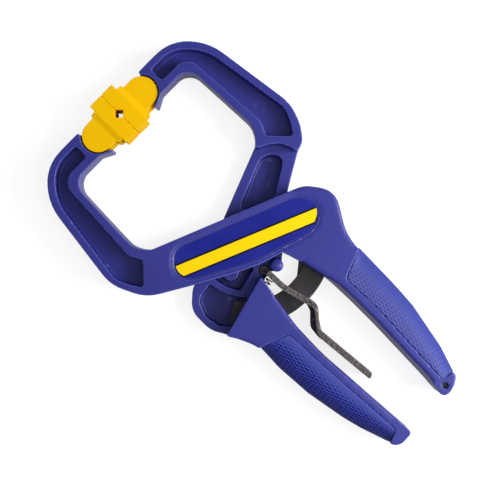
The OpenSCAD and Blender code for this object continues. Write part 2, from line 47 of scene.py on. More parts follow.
MID = 10.0       # height of the clamp's middle, in millimetres
LINE = 0.34      # half the width of a grip's lines, in millimetres
MERGE = 0.002    # distance within which corners of a CAD mesh are one, in millimetres
ACROSS = "across"    # attribute with a place's share of the way over a grip
Colour = tuple[float, float, float]
Socket = bpy.types.NodeSocket


class Body(Enum):
    """The CAD bodies that pieces ride on."""

    REAR_ARM = "rear_arm"
    FRONT_ARM = "front_arm"
    LEVER = "release_lever"
    REAR_PAD = "rear_pad"
    FRONT_PAD = "front_pad"


def srgb(red: float, green: float, blue: float) -> Colour:
    """Turns a screen colour into the linear one that shaders use.

    Args:
        red: Red, from 0 to 255.
        green: Green, from 0 to 255.
        blue: Blue, from 0 to 255.

    Returns:
        The linear colour, from 0 to 1.
    """
    parts = (value / 255 for value in (red, green, blue))
    return tuple(p / 12.92 if p <= 0.04045 else ((p + 0.055) / 1.055) ** 2.4 for p in parts)


# ---- modelling helpers ---------------------------------------------------------


@dataclass(frozen=True)
class Spot:
    """A stretch of a moulding whose edges are rounded wider than the rest.

    Attributes:
        low: Lowest x and y of the stretch, in millimetres.
        high: Highest x and y of the stretch, in millimetres.
        passes: How many times it is smoothed.
    """

    low: tuple[float, float]
    high: tuple[float, float]
    passes: int

    def holds(self, place: Vector) -> bool:
        """Tells whether a place, in metres, lies on this stretch."""
        x, y = place.x / MM, place.y / MM
        return self.low[0] <= x <= self.high[0] and self.low[1] <= y <= self.high[1]


@dataclass(frozen=True)
class Mould:
    """How a CAD form is turned into a moulding with soft edges and corners.

    Attributes:
        voxel: Size of the faces that the form is cut into, in millimetres.
        passes: How many times the whole of it is smoothed.
        most: Most triangles that it keeps.
        spots: Stretches that are rounded wider.
    """

    voxel: float = 0.3
    passes: int = 8
    most: int = 60000
    spots: tuple[Spot, ...] = ()


class Bench:
    """Small modelling steps, each made with Blender's own operators."""

    @staticmethod
    def clear() -> None:
        """Leaves edit mode and deselects everything."""
        if bpy.context.object is not None and bpy.context.object.mode != "OBJECT":
            bpy.ops.object.mode_set(mode="OBJECT")
        bpy.ops.object.select_all(action="DESELECT")

    @staticmethod
    def take(piece: bpy.types.Object) -> None:
        """Makes one piece the only selected and active one."""
        Bench.clear()
        piece.select_set(True)
        bpy.context.view_layer.objects.active = piece

    @staticmethod
    def apply(piece: bpy.types.Object, kind: str, **settings: object) -> None:
        """Adds a modifier and applies it.

        Args:
            piece: The piece to change.
            kind: Blender's name of the modifier.
            **settings: The modifier's settings.
        """
        Bench.take(piece)
        modifier = piece.modifiers.new(kind.title(), kind)
        for key, value in settings.items():
            setattr(modifier, key, value)
        bpy.ops.object.modifier_apply(modifier=modifier.name)

    @staticmethod
    def copy_node(node: str, name: str) -> bpy.types.Object:
        """Copies a CAD node's mesh and merges its loose triangles.

        Args:
            node: The CAD node.
            name: The new piece's name.

        Returns:
            The new piece, at the origin.
        """
        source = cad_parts[node]
        piece = bpy.data.objects.new(name, source.data.copy())
        bpy.context.scene.collection.objects.link(piece)
        piece.data.materials.clear()
        Bench.take(piece)
        bpy.ops.object.mode_set(mode="EDIT")
        bpy.ops.mesh.select_all(action="SELECT")
        bpy.ops.mesh.remove_doubles(threshold=MERGE * MM)
        bpy.ops.object.mode_set(mode="OBJECT")
        return piece

    @staticmethod
    def mould(piece: bpy.types.Object, mould: Mould) -> None:
        """Cuts a form into small even faces, softens its edges and thins it again.

        Args:
            piece: The piece to soften.
            mould: How fine and how soft it becomes.
        """
        Bench.apply(piece, "REMESH", mode="VOXEL", voxel_size=mould.voxel * MM)
        for spot in mould.spots:
            group = piece.vertex_groups.new(name="spot")
            group.add([vert.index for vert in piece.data.vertices if spot.holds(vert.co)],
                      1.0, "REPLACE")
            Bench.apply(piece, "SMOOTH", factor=0.5, iterations=spot.passes,
                        vertex_group=group.name)
            piece.vertex_groups.clear()
        Bench.apply(piece, "SMOOTH", factor=0.5, iterations=mould.passes)
        triangles = 2 * len(piece.data.polygons)
        if triangles > mould.most:
            Bench.apply(piece, "DECIMATE", ratio=mould.most / triangles)
        Bench.take(piece)
        bpy.ops.object.shade_smooth()
        Bench.apply(piece, "WEIGHTED_NORMAL", keep_sharp=False)

    @staticmethod
    def place(piece: bpy.types.Object) -> None:
        """Applies a piece's place, turn and size to its mesh."""
        Bench.take(piece)
        bpy.ops.object.transform_apply(location=True, rotation=True, scale=True)

    @staticmethod
    def read(piece: bpy.types.Object) -> tuple[np.ndarray, np.ndarray]:
        """Gives every vertex's place, in millimetres, and its normal."""
        places, normals = (np.empty(3 * len(piece.data.vertices)) for _ in range(2))
        piece.data.vertices.foreach_get("co", places)
        piece.data.vertices.foreach_get("normal", normals)
        return places.reshape(-1, 3) / MM, normals.reshape(-1, 3)

    @staticmethod
    def write(piece: bpy.types.Object, places: np.ndarray) -> None:
        """Moves every vertex to its place, in millimetres."""
        piece.data.vertices.foreach_set("co", (places * MM).ravel())
        piece.data.update()


# ---- shader groups -------------------------------------------------------------


class Effects:
    """Node groups that more than one finish uses, each built once."""

    @staticmethod
    def fill(node: bpy.types.Node, values: dict[str, object]) -> None:
        """Sets a node's inputs to fixed values, each input found by its name."""
        for socket, value in values.items():
            node.inputs[socket].default_value = value

    @staticmethod
    def start(name: str, enter: dict[str, str], leave: dict[str, str]) -> bpy.types.NodeTree:
        """Makes an empty node group with its sockets, input and output.

        Args:
            name: The group's name.
            enter: Its inputs, each with the kind of its socket.
            leave: Its outputs, in the same way.

        Returns:
            The group's tree.
        """
        tree = bpy.data.node_groups.new(name, "ShaderNodeTree")
        for way, sockets in (("INPUT", enter), ("OUTPUT", leave)):
            for socket, kind in sockets.items():
                tree.interface.new_socket(socket, in_out=way, socket_type=f"NodeSocket{kind}")
        return tree

    @classmethod
    @cache
    def grain(cls) -> bpy.types.NodeTree:
        """Fine moulded grain: a tone that varies, a roughness and a height."""
        middle = 0.5
        tree = cls.start("moulded_grain",
                         {"Vector": "Vector", "Light": "Color", "Shade": "Color", "Fine": "Float",
                          "Broad": "Float", "Spread": "Float", "Dull": "Float",
                          "Polished": "Float"},
                         {"Tone": "Color", "Roughness": "Float", "Height": "Float"})
        nodes, links = tree.nodes, tree.links
        enter, leave = nodes.new("NodeGroupInput"), nodes.new("NodeGroupOutput")
        fine, broad = nodes.new("ShaderNodeTexNoise"), nodes.new("ShaderNodeTexNoise")
        for noise, scale, detail in ((fine, "Fine", 3), (broad, "Broad", 2)):
            noise.inputs["Detail"].default_value = detail
            links.new(enter.outputs["Vector"], noise.inputs["Vector"])
            links.new(enter.outputs[scale], noise.inputs["Scale"])
        patch, tone = nodes.new("ShaderNodeMapRange"), nodes.new("ShaderNodeMix")
        for socket, way in (("From Min", "SUBTRACT"), ("From Max", "ADD")):
            links.new(cls.calc(tree, way, middle, enter.outputs["Spread"]), patch.inputs[socket])
        links.new(broad.outputs["Fac"], patch.inputs["Value"])
        tone.data_type = "RGBA"
        links.new(patch.outputs["Result"], tone.inputs["Factor"])
        links.new(enter.outputs["Shade"], tone.inputs["A"])
        links.new(enter.outputs["Light"], tone.inputs["B"])
        rough = nodes.new("ShaderNodeMapRange")
        links.new(fine.outputs["Fac"], rough.inputs["Value"])
        links.new(enter.outputs["Polished"], rough.inputs["To Min"])
        links.new(enter.outputs["Dull"], rough.inputs["To Max"])
        links.new(tone.outputs["Result"], leave.inputs["Tone"])
        links.new(rough.outputs["Result"], leave.inputs["Roughness"])
        links.new(fine.outputs["Fac"], leave.inputs["Height"])
        return tree

    @classmethod
    @cache
    def edge_highlight(cls) -> bpy.types.NodeTree:
        """A painted highlight: the colour turns to the edge colour along the convex edges."""
        flat, sharp = 0.51, 0.56
        tree = cls.start("painted_edge_highlights", {"Tone": "Color", "Edge": "Color", "Share": "Float"},
                         {"Tone": "Color"})
        nodes, links = tree.nodes, tree.links
        enter, leave = nodes.new("NodeGroupInput"), nodes.new("NodeGroupOutput")
        form, bend = nodes.new("ShaderNodeNewGeometry"), nodes.new("ShaderNodeMapRange")
        bend.interpolation_type = "SMOOTHSTEP"
        cls.fill(bend, {"From Min": flat, "From Max": sharp})
        links.new(form.outputs["Pointiness"], bend.inputs["Value"])
        mix = nodes.new("ShaderNodeMix")
        mix.data_type = "RGBA"
        links.new(cls.calc(tree, "MULTIPLY", bend.outputs["Result"], enter.outputs["Share"]),
                  mix.inputs["Factor"])
        links.new(enter.outputs["Tone"], mix.inputs["A"])
        links.new(enter.outputs["Edge"], mix.inputs["B"])
        links.new(mix.outputs["Result"], leave.inputs["Tone"])
        return tree

    @staticmethod
    def calc(tree: bpy.types.NodeTree, operation: str, *values: Socket | float) -> Socket:
        """Adds one Math node.

        Args:
            tree: The tree to add it to.
            operation: Blender's name of the operation.
            *values: Its inputs, each a socket or a number.

        Returns:
            The socket with the result.
        """
        node = tree.nodes.new("ShaderNodeMath")
        node.operation = operation
        for socket, value in zip(node.inputs, values):
            if isinstance(value, Socket):
                tree.links.new(value, socket)
            else:
                socket.default_value = value
        return node.outputs["Value"]

    @classmethod
    @cache
    def lattice(cls) -> bpy.types.NodeTree:
        """Two families of crossing lines round a grip: 1 on a line and 0 between them."""
        tree = cls.start("crossing_lines",
                         {"Vector": "Vector", "Across A": "Vector", "Across B": "Vector",
                          "Pitch A": "Float", "Pitch B": "Float"}, {"Line": "Float"})
        nodes, links = tree.nodes, tree.links
        enter, leave = nodes.new("NodeGroupInput"), nodes.new("NodeGroupOutput")
        split, joined = nodes.new("ShaderNodeSeparateXYZ"), nodes.new("ShaderNodeCombineXYZ")
        links.new(enter.outputs["Vector"], split.inputs["Vector"])
        links.new(split.outputs["X"], joined.inputs["X"])
        links.new(split.outputs["Y"], joined.inputs["Y"])
        height = cls.calc(tree, "SUBTRACT", split.outputs["Z"], MID * MM)
        links.new(cls.calc(tree, "ABSOLUTE", height), joined.inputs["Z"])
        lines = []
        for letter in "AB":
            along, line = nodes.new("ShaderNodeVectorMath"), nodes.new("ShaderNodeMapRange")
            along.operation = "DOT_PRODUCT"
            links.new(joined.outputs["Vector"], along.inputs[0])
            links.new(enter.outputs[f"Across {letter}"], along.inputs[1])
            half = cls.calc(tree, "MULTIPLY", enter.outputs[f"Pitch {letter}"], 0.5)
            off = cls.calc(tree, "PINGPONG", along.outputs["Value"], half)
            line.interpolation_type = "SMOOTHSTEP"
            cls.fill(line, {"From Max": LINE * MM, "To Min": 1.0, "To Max": 0.0})
            links.new(off, line.inputs["Value"])
            lines.append(line.outputs["Result"])
        links.new(cls.calc(tree, "MAXIMUM", *lines), leave.inputs["Line"])
        return tree


# ---- finishes ------------------------------------------------------------------


@dataclass(frozen=True)
class Cuts:
    """One family of lines across a grip.

    Attributes:
        turn: Their turn from the clamp's length, in degrees.
        pitch: Distance from line to line, in millimetres.
    """

    turn: float
    pitch: float

    def across(self, side: int) -> Vector:
        """Direction across the lines, in x, y and the height off the middle.

        Args:
            side: 1 for a grip towards +Y, -1 for one towards -Y.

        Returns:
            The direction, of length 1 on the flat faces.
        """
        turn = math.radians(self.turn)
        return Vector((-side * math.sin(turn), side * math.cos(turn), -math.cos(turn)))

    def line(self, side: int, places: np.ndarray) -> np.ndarray:
        """How much each place lies on a line, from 0 to 1.

        Args:
            side: 1 for a grip towards +Y, -1 for one towards -Y.
            places: Places in x, y and the height off the middle, in millimetres.

        Returns:
            One value for each place.
        """
        turns = places @ np.array(self.across(side)) / self.pitch
        near = np.clip(1 - np.abs(turns - np.round(turns)) * self.pitch / LINE, 0, 1)
        return near * near * (3 - 2 * near)


@dataclass(frozen=True)
class Finish:
    """A moulded or metal finish.

    Attributes:
        name: The material's name.
        light: The finish's lighter colour.
        shade: Its darker colour.
        dull: Its highest roughness.
        polished: Its lowest roughness.
        fine: Scale of the fine grain.
        broad: Scale of the broad variation.
        depth: Height of the grain, in millimetres.
        metal: How metallic it is.
        coat: Weight of a clear coat.
        gloss: How much of the surroundings it mirrors.
        spread: Half the noise's range in which shade turns to light, small for a speckle.
        edge: Colour of the painted highlight along the convex edges.
        edge_highlight: Share of that painted highlight there, 0 for none.
        valley: Colour of the painted shade in the grooves between the lines of a grip, where it
            has them.
        cuts: The families of lines.
        side: 1 for a grip towards +Y, -1 for one towards -Y.
        fade: Where the lines come in, from 0 at the seam to 1 at the outer edge.
        rest: What shows beyond them, 0 for the valleys' colour and 1 for the lines'.
    """

    name: str
    light: Colour
    shade: Colour
    dull: float = 0.5
    polished: float = 0.4
    fine: float = 1500.0
    broad: float = 60.0
    depth: float = 0.02
    metal: float = 0.0
    coat: float = 0.0
    gloss: float = 0.5
    spread: float = 0.5
    edge: Colour = (0.0, 0.0, 0.0)
    edge_highlight: float = 0.0
    valley: Colour = (0.0, 0.0, 0.0)
    cuts: tuple[Cuts, ...] = ()
    side: int = 1
    fade: tuple[float, float] = (0.0, 0.3)
    rest: float = 1.0

    def build(self) -> bpy.types.Material:
        """Makes the material, or gives the one already made."""
        found = bpy.data.materials.get(self.name)
        if found is not None:
            return found
        material = bpy.data.materials.new(self.name)
        material.use_nodes = True
        nodes, links = material.node_tree.nodes, material.node_tree.links
        shader = nodes["Principled BSDF"]
        place, grain = nodes.new("ShaderNodeTexCoord"), nodes.new("ShaderNodeGroup")
        grain.node_tree = Effects.grain()
        links.new(place.outputs["Object"], grain.inputs["Vector"])
        Effects.fill(grain, {"Light": (*self.light, 1), "Shade": (*self.shade, 1),
                             "Fine": self.fine, "Broad": self.broad, "Spread": self.spread,
                             "Dull": self.dull, "Polished": self.polished})
        bump = nodes.new("ShaderNodeBump")
        Effects.fill(bump, {"Distance": self.depth * MM})
        links.new(grain.outputs["Height"], bump.inputs["Height"])
        links.new(self.tone(nodes, links, place.outputs["Object"], grain.outputs["Tone"]),
                  shader.inputs["Base Color"])
        links.new(grain.outputs["Roughness"], shader.inputs["Roughness"])
        links.new(bump.outputs["Normal"], shader.inputs["Normal"])
        Effects.fill(shader, {"Metallic": self.metal, "Coat Weight": self.coat,
                              "Specular IOR Level": self.gloss})
        return material

    def tone(self, nodes: bpy.types.Nodes, links: bpy.types.NodeLinks, place: Socket,
             plain: Socket) -> Socket:
        """Paints a highlight on the convex edges and paints shade between a grip's lines.

        Args:
            nodes: The material's nodes.
            links: The material's links.
            place: Socket with the place on the piece.
            plain: Socket with the colour of the lines.

        Returns:
            The socket with the finished colour.
        """
        # painted highlight: the edge colour along the convex edges
        if self.edge_highlight:
            edge_highlight = nodes.new("ShaderNodeGroup")
            edge_highlight.node_tree = Effects.edge_highlight()
            Effects.fill(edge_highlight, {"Edge": (*self.edge, 1), "Share": self.edge_highlight})
            links.new(plain, edge_highlight.inputs["Tone"])
            plain = edge_highlight.outputs["Tone"]
        if not self.cuts:
            return plain
        # painted shade in the grooves between the grip's lines, with the lines' colour as painted
        # highlight; fade and rest place it across the grip by where light falls on its crown
        lattice, mix = nodes.new("ShaderNodeGroup"), nodes.new("ShaderNodeMix")
        lattice.node_tree = Effects.lattice()
        links.new(place, lattice.inputs["Vector"])
        for letter, cut in zip("AB", self.cuts):
            Effects.fill(lattice, {f"Across {letter}": cut.across(self.side),
                                   f"Pitch {letter}": cut.pitch * MM})
        across, near = nodes.new("ShaderNodeAttribute"), nodes.new("ShaderNodeMapRange")
        across.attribute_name = ACROSS
        near.interpolation_type = "SMOOTHSTEP"
        rising = float(self.fade[0] < self.fade[1])
        Effects.fill(near, {"From Min": min(self.fade), "From Max": max(self.fade),
                            "To Min": 1 - rising, "To Max": rising})
        links.new(across.outputs["Fac"], near.inputs["Value"])
        shown = nodes.new("ShaderNodeMix")
        Effects.fill(shown, {"A": self.rest})
        links.new(near.outputs["Result"], shown.inputs["Factor"])
        links.new(lattice.outputs["Line"], shown.inputs["B"])
        mix.data_type = "RGBA"
        Effects.fill(mix, {"A": (*self.valley, 1)})
        links.new(shown.outputs["Result"], mix.inputs["Factor"])
        links.new(plain, mix.inputs["B"])
        return mix.outputs["Result"]


# The edge colours of NYLON, STRIP and LEVER are painted highlights along their convex edges.
NYLON = Finish("blue_nylon", srgb(55, 58, 146), srgb(46, 49, 136), dull=0.42, polished=0.28,
               gloss=0.35, edge=srgb(112, 120, 206), edge_highlight=0.6)
# The two grips are one rubber: the front grip's lighter, greyer colours are painted light and the
# rear grip's darker ones painted shade.
# Their crossing lines are the grips' real moulded pattern; the dark valley colours are painted
# shade in its grooves and the line colours painted highlight on its ridges.
FRONT_GRIP = Finish("front_grip_rubber", srgb(98, 102, 164), srgb(90, 94, 156), dull=0.6,
                    polished=0.45, gloss=0.15, valley=srgb(48, 57, 142),
                    cuts=(Cuts(turn=-28, pitch=1.55), Cuts(turn=13.5, pitch=1.4)),
                    fade=(0.95, 0.3), rest=0.1)
REAR_GRIP = Finish("rear_grip_rubber", srgb(74, 81, 166), srgb(66, 73, 156), dull=0.6,
                   polished=0.45, gloss=0.15, valley=srgb(6, 20, 116),
                   cuts=(Cuts(turn=-16, pitch=1.65), Cuts(turn=27, pitch=1.65)),
                   side=-1, fade=(0.0, 0.5))
LABEL_BLUE = Finish("label_blue", srgb(30, 38, 148), srgb(10, 22, 130), dull=0.3, polished=0.22,
                    coat=0.15, gloss=0.3, spread=0.25)
LABEL_DARK = Finish("label_edge", srgb(14, 12, 34), srgb(10, 8, 26), dull=0.4, polished=0.3,
                    gloss=0.2)
LABEL_YELLOW = Finish("label_yellow", srgb(255, 222, 6), srgb(254, 214, 0), dull=0.3,
                      polished=0.22, gloss=0.2)
PAD = Finish("pad_rubber", srgb(255, 202, 0), srgb(255, 194, 0), dull=0.75, polished=0.6,
             gloss=0.08)
STRIP = Finish("strip_nylon", srgb(50, 42, 50), srgb(34, 28, 34), dull=0.4, polished=0.26,
               edge=srgb(130, 120, 128), edge_highlight=0.5)
LEVER = Finish("lever_grained", srgb(106, 98, 98), srgb(16, 12, 14), dull=0.6, polished=0.4,
               fine=2200, broad=1500, depth=0.08, spread=0.14, edge=srgb(170, 162, 162), edge_highlight=0.5)
STEEL = Finish("zinc_steel", srgb(190, 192, 196), srgb(165, 168, 172), dull=0.36, polished=0.24,
               metal=1.0)
WASHER = Finish("washer_nylon", srgb(236, 236, 230), srgb(225, 225, 218), dull=0.5, polished=0.4)


# ---- sub-assemblies ------------------------------------------------------------


def finish_piece(piece: bpy.types.Object, body: Body, finish: Finish, slot: str,
                 *nodes: str) -> bpy.types.Object:
    """Gives a piece its material and its body, and hides the CAD nodes that it stands for.

    Args:
        piece: The finished mesh.
        body: The body that it rides on.
        finish: Its finish.
        slot: Name of a material slot; not used.
        *nodes: The CAD nodes that it replaces.

    Returns:
        The same piece.
    """
    piece.data.materials.clear()
    piece.data.materials.append(finish.build())
    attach(piece, body.value)
    if nodes:
        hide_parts(*nodes)
    LOG.info("%s rides on %s", piece.name, body.value)
    return piece


@dataclass
class Part:
    """One CAD node that is rounded and dressed.

    Attributes:
        node: The CAD node.
        body: The body that it rides on.
        finish: Its finish.
        slot: Name of a material slot.
        mould: How it is softened, or None to keep the node.
    """

    node: str
    body: Body
    finish: Finish
    slot: str
    mould: Mould | None = None

    def build(self) -> bpy.types.Object:
        """Makes the softened copy, or dresses the CAD node itself."""
        if self.mould is None:
            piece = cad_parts[self.node]
            piece.data.materials.clear()
            piece.data.materials.append(self.finish.build())
            LOG.info("%s is dressed as it is", self.node)
            return piece
        piece = Bench.copy_node(self.node, f"{self.node}_body")
        Bench.mould(piece, self.mould)
        return finish_piece(piece, self.body, self.finish, self.slot, self.node)


@dataclass(frozen=True)
class Ring:
    """A round line that the tool's pins leave in a moulding.

    Attributes:
        centre: Its centre, in millimetres.
        radius: Its radius, in millimetres.
    """

    centre: tuple[float, float]
    radius: float

    def sunk(self, places: np.ndarray, half: float) -> np.ndarray:
        """How much each place sinks, as a share of the full depth.

        Args:
            places: Places in millimetres.
            half: Half the line's width, in millimetres.

        Returns:
            One share for each place.
        """
        away = np.hypot(*(places[:, :2] - self.centre).T) - self.radius
        return np.exp(-(away / half) ** 2)


@dataclass(frozen=True)
class Border:
    """A small step that runs round a flat node at a distance.

    Attributes:
        node: The CAD node.
        offset: How far outside its edge the step runs, in millimetres.
    """

    node: str
    offset: float

    def sunk(self, places: np.ndarray, half: float) -> np.ndarray:
        """How much each place sinks, as a share of the full depth.

        Args:
            places: Places in millimetres.
            half: Half the step's width, in millimetres.

        Returns:
            One share for each place, 1 between the node and the step.
        """
        piece = Bench.copy_node(self.node, f"{self.node}_edge")
        edge = Bench.read(piece)[0][:, :2]
        bpy.data.objects.remove(piece)
        edge = edge[np.argsort(np.arctan2(*(edge - edge.mean(axis=0)).T[::-1]))]
        nearest, least = np.full(len(places), np.inf), 1e-9
        for start, end in zip(edge, np.roll(edge, -1, axis=0)):
            step, rest = end - start, places[:, :2] - start
            along = np.clip(rest @ step / max(step @ step, least), 0, 1)
            nearest = np.minimum(nearest, np.hypot(*(rest - along[:, None] * step).T))
        return np.clip((self.offset + half - nearest) / (2 * half), 0, 1)


@dataclass(frozen=True)
class Swell:
    """A place where a moulding stands out a little further.

    Attributes:
        centre: Its centre, in millimetres.
        reach: Distance at which it has died out, in millimetres.
        height: How far it stands out at its centre, in millimetres.
    """

    centre: tuple[float, float]
    reach: float
    height: float

    def out(self, places: np.ndarray) -> np.ndarray:
        """How far each place stands out, in millimetres.

        Args:
            places: Places in millimetres.

        Returns:
            One distance for each place.
        """
        near = 1 - np.hypot(*(places[:, :2] - self.centre).T) / self.reach
        return self.height * np.sqrt(np.clip(near, 0, 1))


def envelope(places: np.ndarray, out: np.ndarray) -> tuple[np.ndarray, np.ndarray]:
    """Lowest and highest value at each place's own x.

    Args:
        places: Places in millimetres.
        out: One value for each place.

    Returns:
        The lowest and the highest value, for each place.
    """
    along = places[:, 0].round().astype(int)
    columns = np.unique(along)
    low = np.array([out[along == column].min() for column in columns])
    high = np.array([out[along == column].max() for column in columns])
    return np.interp(places[:, 0], columns, low), np.interp(places[:, 0], columns, high)


@dataclass(frozen=True)
class Lean:
    """A wall towards -Y whose top leans back over a stretch of an arm, in millimetres.

    Attributes:
        start: Where the stretch starts, in x.
        end: Where it ends.
        low: Lowest y of the stretch.
        high: Highest y of the stretch.
        back: How far the top leans back.
        fade: Depth behind the wall at which the shift has died out.
        taper: Length over which the stretch comes in and goes out.
    """

    start: float = 36.0
    end: float = 110.0
    low: float = 6.0
    high: float = 18.0
    back: float = 1.6
    fade: float = 4.0
    taper: float = 8.0

    def shift(self, places: np.ndarray) -> np.ndarray:
        """How far each place moves in y, in millimetres.

        Args:
            places: Places in millimetres.

        Returns:
            One distance for each place.
        """
        x, y, z = places.T
        held = (x > self.start) & (x < self.end) & (y > self.low) & (y < self.high)
        edge = envelope(places[held], y[held])[0]
        ends = np.minimum(x[held] - self.start, self.end - x[held]) / self.taper
        moved = np.zeros(len(places))
        moved[held] = (self.back * z[held] / (2 * MID) * np.clip(ends, 0, 1)
                       * np.clip(1 - (y[held] - edge) / self.fade, 0, 1))
        return moved


@dataclass
class Arm(Part):
    """An arm with fine lines sunk into its upward faces.

    Attributes:
        lines: The lines.
        leans: Where a wall leans back.
        swells: Where its outline stands out further.
        depth: Depth of the lines, in millimetres.
        half: Half their width, in millimetres.
        top: Height above which the lines are sunk, in millimetres.
        upward: Least height of the normal of an upward face.
    """

    lines: tuple[Ring | Border, ...] = ()
    leans: tuple[Lean, ...] = ()
    swells: tuple[Swell, ...] = ()
    depth: float = 0.3
    half: float = 0.3
    top: float = 0.0
    upward: float = 0.7

    def build(self) -> bpy.types.Object:
        """Makes the softened arm, shifts its walls and sinks the lines into it."""
        piece = super().build()
        places, normals = Bench.read(piece)
        for swell in self.swells:
            places[:, :2] += normals[:, :2] * swell.out(places)[:, None]
        for lean in self.leans:
            places[:, 1] += lean.shift(places)
        up = (normals[:, 2] > self.upward) & (places[:, 2] > self.top)
        for line in self.lines:
            places[up, 2] -= self.depth * line.sunk(places[up], self.half)
        Bench.write(piece, places)
        return piece


@dataclass
class Grip(Part):
    """A soft grip, crowned towards its outer edge and cut into small diamonds.

    Attributes:
        depth: Depth of the valleys between the lines, in millimetres.
        crown: How much of its half depth the outer edge loses.
        open_from: How far a face has to look outwards before it is cut at all.
        open_over: How much further it has to look outwards to be cut in full.
    """

    depth: float = 0.09
    crown: float = 0.2
    open_from: float = 0.3
    open_over: float = 0.4

    def build(self) -> bpy.types.Object:
        """Makes the softened copy, crowns it and cuts the valleys into it."""
        piece = super().build()
        self.carve(piece)
        return piece

    def across(self, places: np.ndarray) -> np.ndarray:
        """How far each place lies from the seam, 0, to the outer edge, 1.

        Args:
            places: Places in millimetres.

        Returns:
            One value for each place.
        """
        out, narrowest = self.finish.side * places[:, 1], 1.0
        low, high = envelope(places, out)
        return np.clip((out - low) / np.maximum(high - low, narrowest), 0, 1)

    def carve(self, piece: bpy.types.Object) -> None:
        """Lowers the outer surface towards its edge and between the lines.

        Args:
            piece: The softened grip.
        """
        side, (start, end) = self.finish.side, self.finish.fade
        places, normals = Bench.read(piece)
        wrapped = places - np.array((0, 0, MID))
        facing = normals[:, 2] * np.sign(wrapped[:, 2])
        across = self.across(wrapped)
        wrapped[:, 2] = np.abs(wrapped[:, 2])
        valley = 1 - np.maximum.reduce([cut.line(side, wrapped) for cut in self.finish.cuts])
        outwards = np.maximum(facing, side * normals[:, 1])
        shown = np.clip((outwards - self.open_from) / self.open_over, 0, 1)
        kept = np.clip((across - start) / (end - start), 0, 1)
        places -= normals * (self.depth * valley * shown * kept)[:, None]
        places[:, 2] -= (places[:, 2] - MID) * self.crown * across ** 2 * shown
        piece.data.attributes.new(ACROSS, "FLOAT", "POINT").data.foreach_set("value", across)
        Bench.write(piece, places)


@dataclass
class Pad(Part):
    """A soft pad whose flat face all but touches the other pad's.

    Attributes:
        face: Distance from the middle within which the flat face lies, in millimetres.
        left: Share of that distance that is left.
    """

    face: float = 0.12
    left: float = 0.05

    def build(self) -> bpy.types.Object:
        """Makes the softened pad and brings its face to the middle."""
        piece = super().build()
        places, _ = Bench.read(piece)
        places[np.abs(places[:, 1]) < self.face, 1] *= self.left
        Bench.write(piece, places)
        return piece


FRONT_ARM = Mould(voxel=0.4, passes=5, most=190000,
                  spots=(Spot(low=(24.0, 9.0), high=(105.0, 16.5), passes=120),
                         Spot(low=(-2.0, 30.0), high=(38.0, 46.0), passes=90)))
REAR_ARM = Mould(voxel=0.4, passes=5, most=190000,
                 spots=(Spot(low=(26.0, -12.9), high=(105.0, -8.5), passes=60),
                        Spot(low=(28.0, -36.0), high=(38.0, -29.0), passes=60)))
GRIP = Mould(voxel=0.3, passes=6, most=150000)
SMALL = Mould(voxel=0.2, passes=6, most=30000)
SPRING = Mould(voxel=0.2, passes=2, most=30000)
FINE_SPRING = Mould(voxel=0.12, passes=2, most=20000)


@dataclass
class StripeEdge:
    """The dark line along both sides of the badge's stripe.

    Attributes:
        wide: Its width on each side, in millimetres.
        low: Its lowest height, in millimetres.
        high: Its highest height, in millimetres.
    """

    wide: float = 0.8
    low: float = 19.45
    high: float = 19.68

    def build(self) -> bpy.types.Object:
        """Makes a slightly wider, lower copy of the stripe."""
        piece = Bench.copy_node("badge_stripe", "badge_stripe_edge")
        places, _ = Bench.read(piece)
        rest = places - places.mean(axis=0)
        sideways = np.linalg.svd(rest)[2][1]
        places += np.outer(np.sign(rest @ sideways) * self.wide, sideways)
        places[:, 2] = np.where(rest[:, 2] > 0, self.high, self.low)
        Bench.write(piece, places)
        return finish_piece(piece, Body.FRONT_ARM, LABEL_DARK, "badge_blue")


@dataclass
class Clamp:
    """The whole clamp, as its dressed parts."""

    parts: list[Part | StripeEdge] = field(default_factory=lambda: [
        Arm("rear_arm", Body.REAR_ARM, NYLON, "arm_blue", REAR_ARM,
            lines=(Ring((-37.5, 47.2), radius=2.4), Ring((-12.5, 24.6), radius=2.4))),
        Arm("front_arm", Body.FRONT_ARM, NYLON, "arm_blue", FRONT_ARM,
            lines=(Border("badge_plate", offset=2.1),), leans=(Lean(),),
            swells=(Swell((109.0, 21.5), reach=5.0, height=0.7),), top=19.9),
        Grip("rear_grip", Body.REAR_ARM, REAR_GRIP, "grip_blue", GRIP),
        Grip("front_grip", Body.FRONT_ARM, FRONT_GRIP, "grip_blue", GRIP),
        Part("badge_plate", Body.FRONT_ARM, LABEL_BLUE, "badge_blue"),
        Part("badge_stripe", Body.FRONT_ARM, LABEL_YELLOW, "badge_yellow"),
        StripeEdge(),
        Part("pivot_rivet", Body.REAR_ARM, STEEL, "steel", SMALL),
        Part("pivot_push_nut", Body.REAR_ARM, STEEL, "steel", SMALL),
        Part("pivot_washer", Body.REAR_ARM, WASHER, "nylon_white"),
        Part("main_spring", Body.REAR_ARM, STEEL, "steel", SPRING),
        Part("ratchet_strip", Body.FRONT_ARM, STRIP, "strip_black", SMALL),
        Part("strip_pins", Body.FRONT_ARM, STEEL, "steel"),
        Part("release_lever", Body.LEVER, LEVER, "lever_black", SMALL),
        Part("lever_pin", Body.REAR_ARM, STEEL, "steel"),
        Part("lever_spring", Body.REAR_ARM, STEEL, "steel", FINE_SPRING),
        Pad("rear_pad", Body.REAR_PAD, PAD, "pad_yellow", SMALL),
        Pad("front_pad", Body.FRONT_PAD, PAD, "pad_yellow", SMALL),
        Part("rear_pad_pin", Body.REAR_PAD, STEEL, "steel"),
        Part("front_pad_pin", Body.FRONT_PAD, STEEL, "steel"),
    ])

    def build(self) -> None:
        """Builds every part in order."""
        for part in self.parts:
            part.build()


# ---- studio --------------------------------------------------------------------


